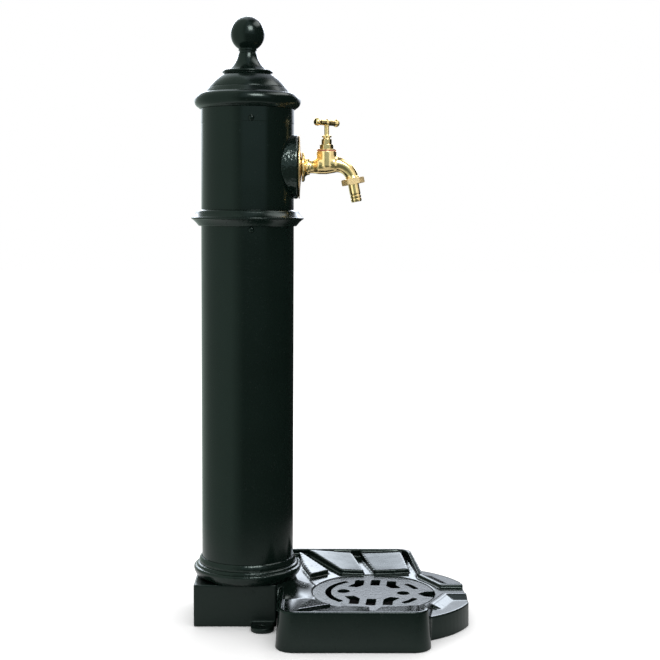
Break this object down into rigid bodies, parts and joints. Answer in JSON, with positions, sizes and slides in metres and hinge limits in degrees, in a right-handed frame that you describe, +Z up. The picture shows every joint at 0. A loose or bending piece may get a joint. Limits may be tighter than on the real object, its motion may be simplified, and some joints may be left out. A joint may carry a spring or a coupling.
{
  "type": "garden standpipe",
  "caption": "Cast garden standpipe: round column with moulded rings, domed cap and ball, brass bib tap with hose tail, and a drip basin with raised pads and a lift-out grate.",
  "frame": {"origin": "on the column axis at floor level, at the mouth of the water inlet socket", "axes": "+Z up along the column, +X towards the spout and the basin, +Y to the left when facing +X"},
  "size_m": [0.4089, 0.356, 0.8851],
  "materials": {
    "green_casting": "dark green gloss paint over a cast surface",
    "green_tube": "dark green gloss paint on steel tube",
    "rough_casting": "dark green paint over a rough sand casting",
    "basin_casting": "dark green high gloss paint over a casting",
    "polished_brass": "polished",
    "satin_brass": "satin, as turned",
    "zinc_steel": "zinc plated",
    "red_fibre": "pressed fibre",
    "white_packing": "matt",
    "black_rubber": "matt"
  },
  "bodies": {
    "standpipe": {"base_block": "green_casting", "base_ring": "green_casting", "base_bolts": "zinc_steel", "lower_tube": "green_tube", "mid_ring": "green_casting", "collar_screws": "green_tube", "upper_drum": "green_tube", "cap": "green_casting", "cap_screws": "green_tube", "ball_finial": "green_casting", "finial_stud": "zinc_steel", "tap_boss": "rough_casting", "rosette_plate": "polished_brass", "wall_rose": "polished_brass", "tap_body": "polished_brass", "bonnet": "polished_brass", "bonnet_washer": "red_fibre", "gland_nut": "polished_brass", "gland_packing": "white_packing", "supply_elbow": "satin_brass", "riser_pipe": "zinc_steel", "inlet_socket": "satin_brass", "basin": "basin_casting", "basin_bolts": "zinc_steel"},
    "valve": {"jumper_valve": "polished_brass", "valve_washer": "black_rubber", "jumper_nut": "polished_brass"},
    "handle": {"spindle": "polished_brass", "tee_handle": "polished_brass"},
    "hose_coupling": {"hose_tail": "polished_brass", "hose_washer": "black_rubber"},
    "coupling_nut": {"union_nut": "satin_brass"},
    "drain_grate": {"grate": "basin_casting"}
  },
  "joints": [
    {"name": "valve_lift", "type": "slide", "parent": "standpipe", "child": "valve", "axis": [0, 0, 1], "range_m": [0, 0.008]},
    {"name": "handle_turn", "type": "hinge", "parent": "valve", "child": "handle", "pos_m": [0.1153, 0, 0.7], "axis": [0, 0, 1], "range_deg": [0, 720]},
    {"name": "coupling_draw", "type": "slide", "parent": "standpipe", "child": "hose_coupling", "axis": [0.1857, 0, -0.9826], "range_m": [0, 0.00363]},
    {"name": "nut_turn", "type": "hinge", "parent": "hose_coupling", "child": "coupling_nut", "pos_m": [0.15505, 0, 0.64443], "axis": [0.1857, 0, -0.9826], "range_deg": [0, 720]},
    {"name": "grate_lift", "type": "slide", "parent": "standpipe", "child": "drain_grate", "axis": [0, 0, 1], "range_m": [0, 0.1]}
  ],
  "couplings": [
    {"joint": "valve_lift", "follows": "handle_turn", "m_per_rad": 0.00063661},
    {"joint": "coupling_draw", "follows": "nut_turn", "m_per_rad": 0.00028871}
  ]
}
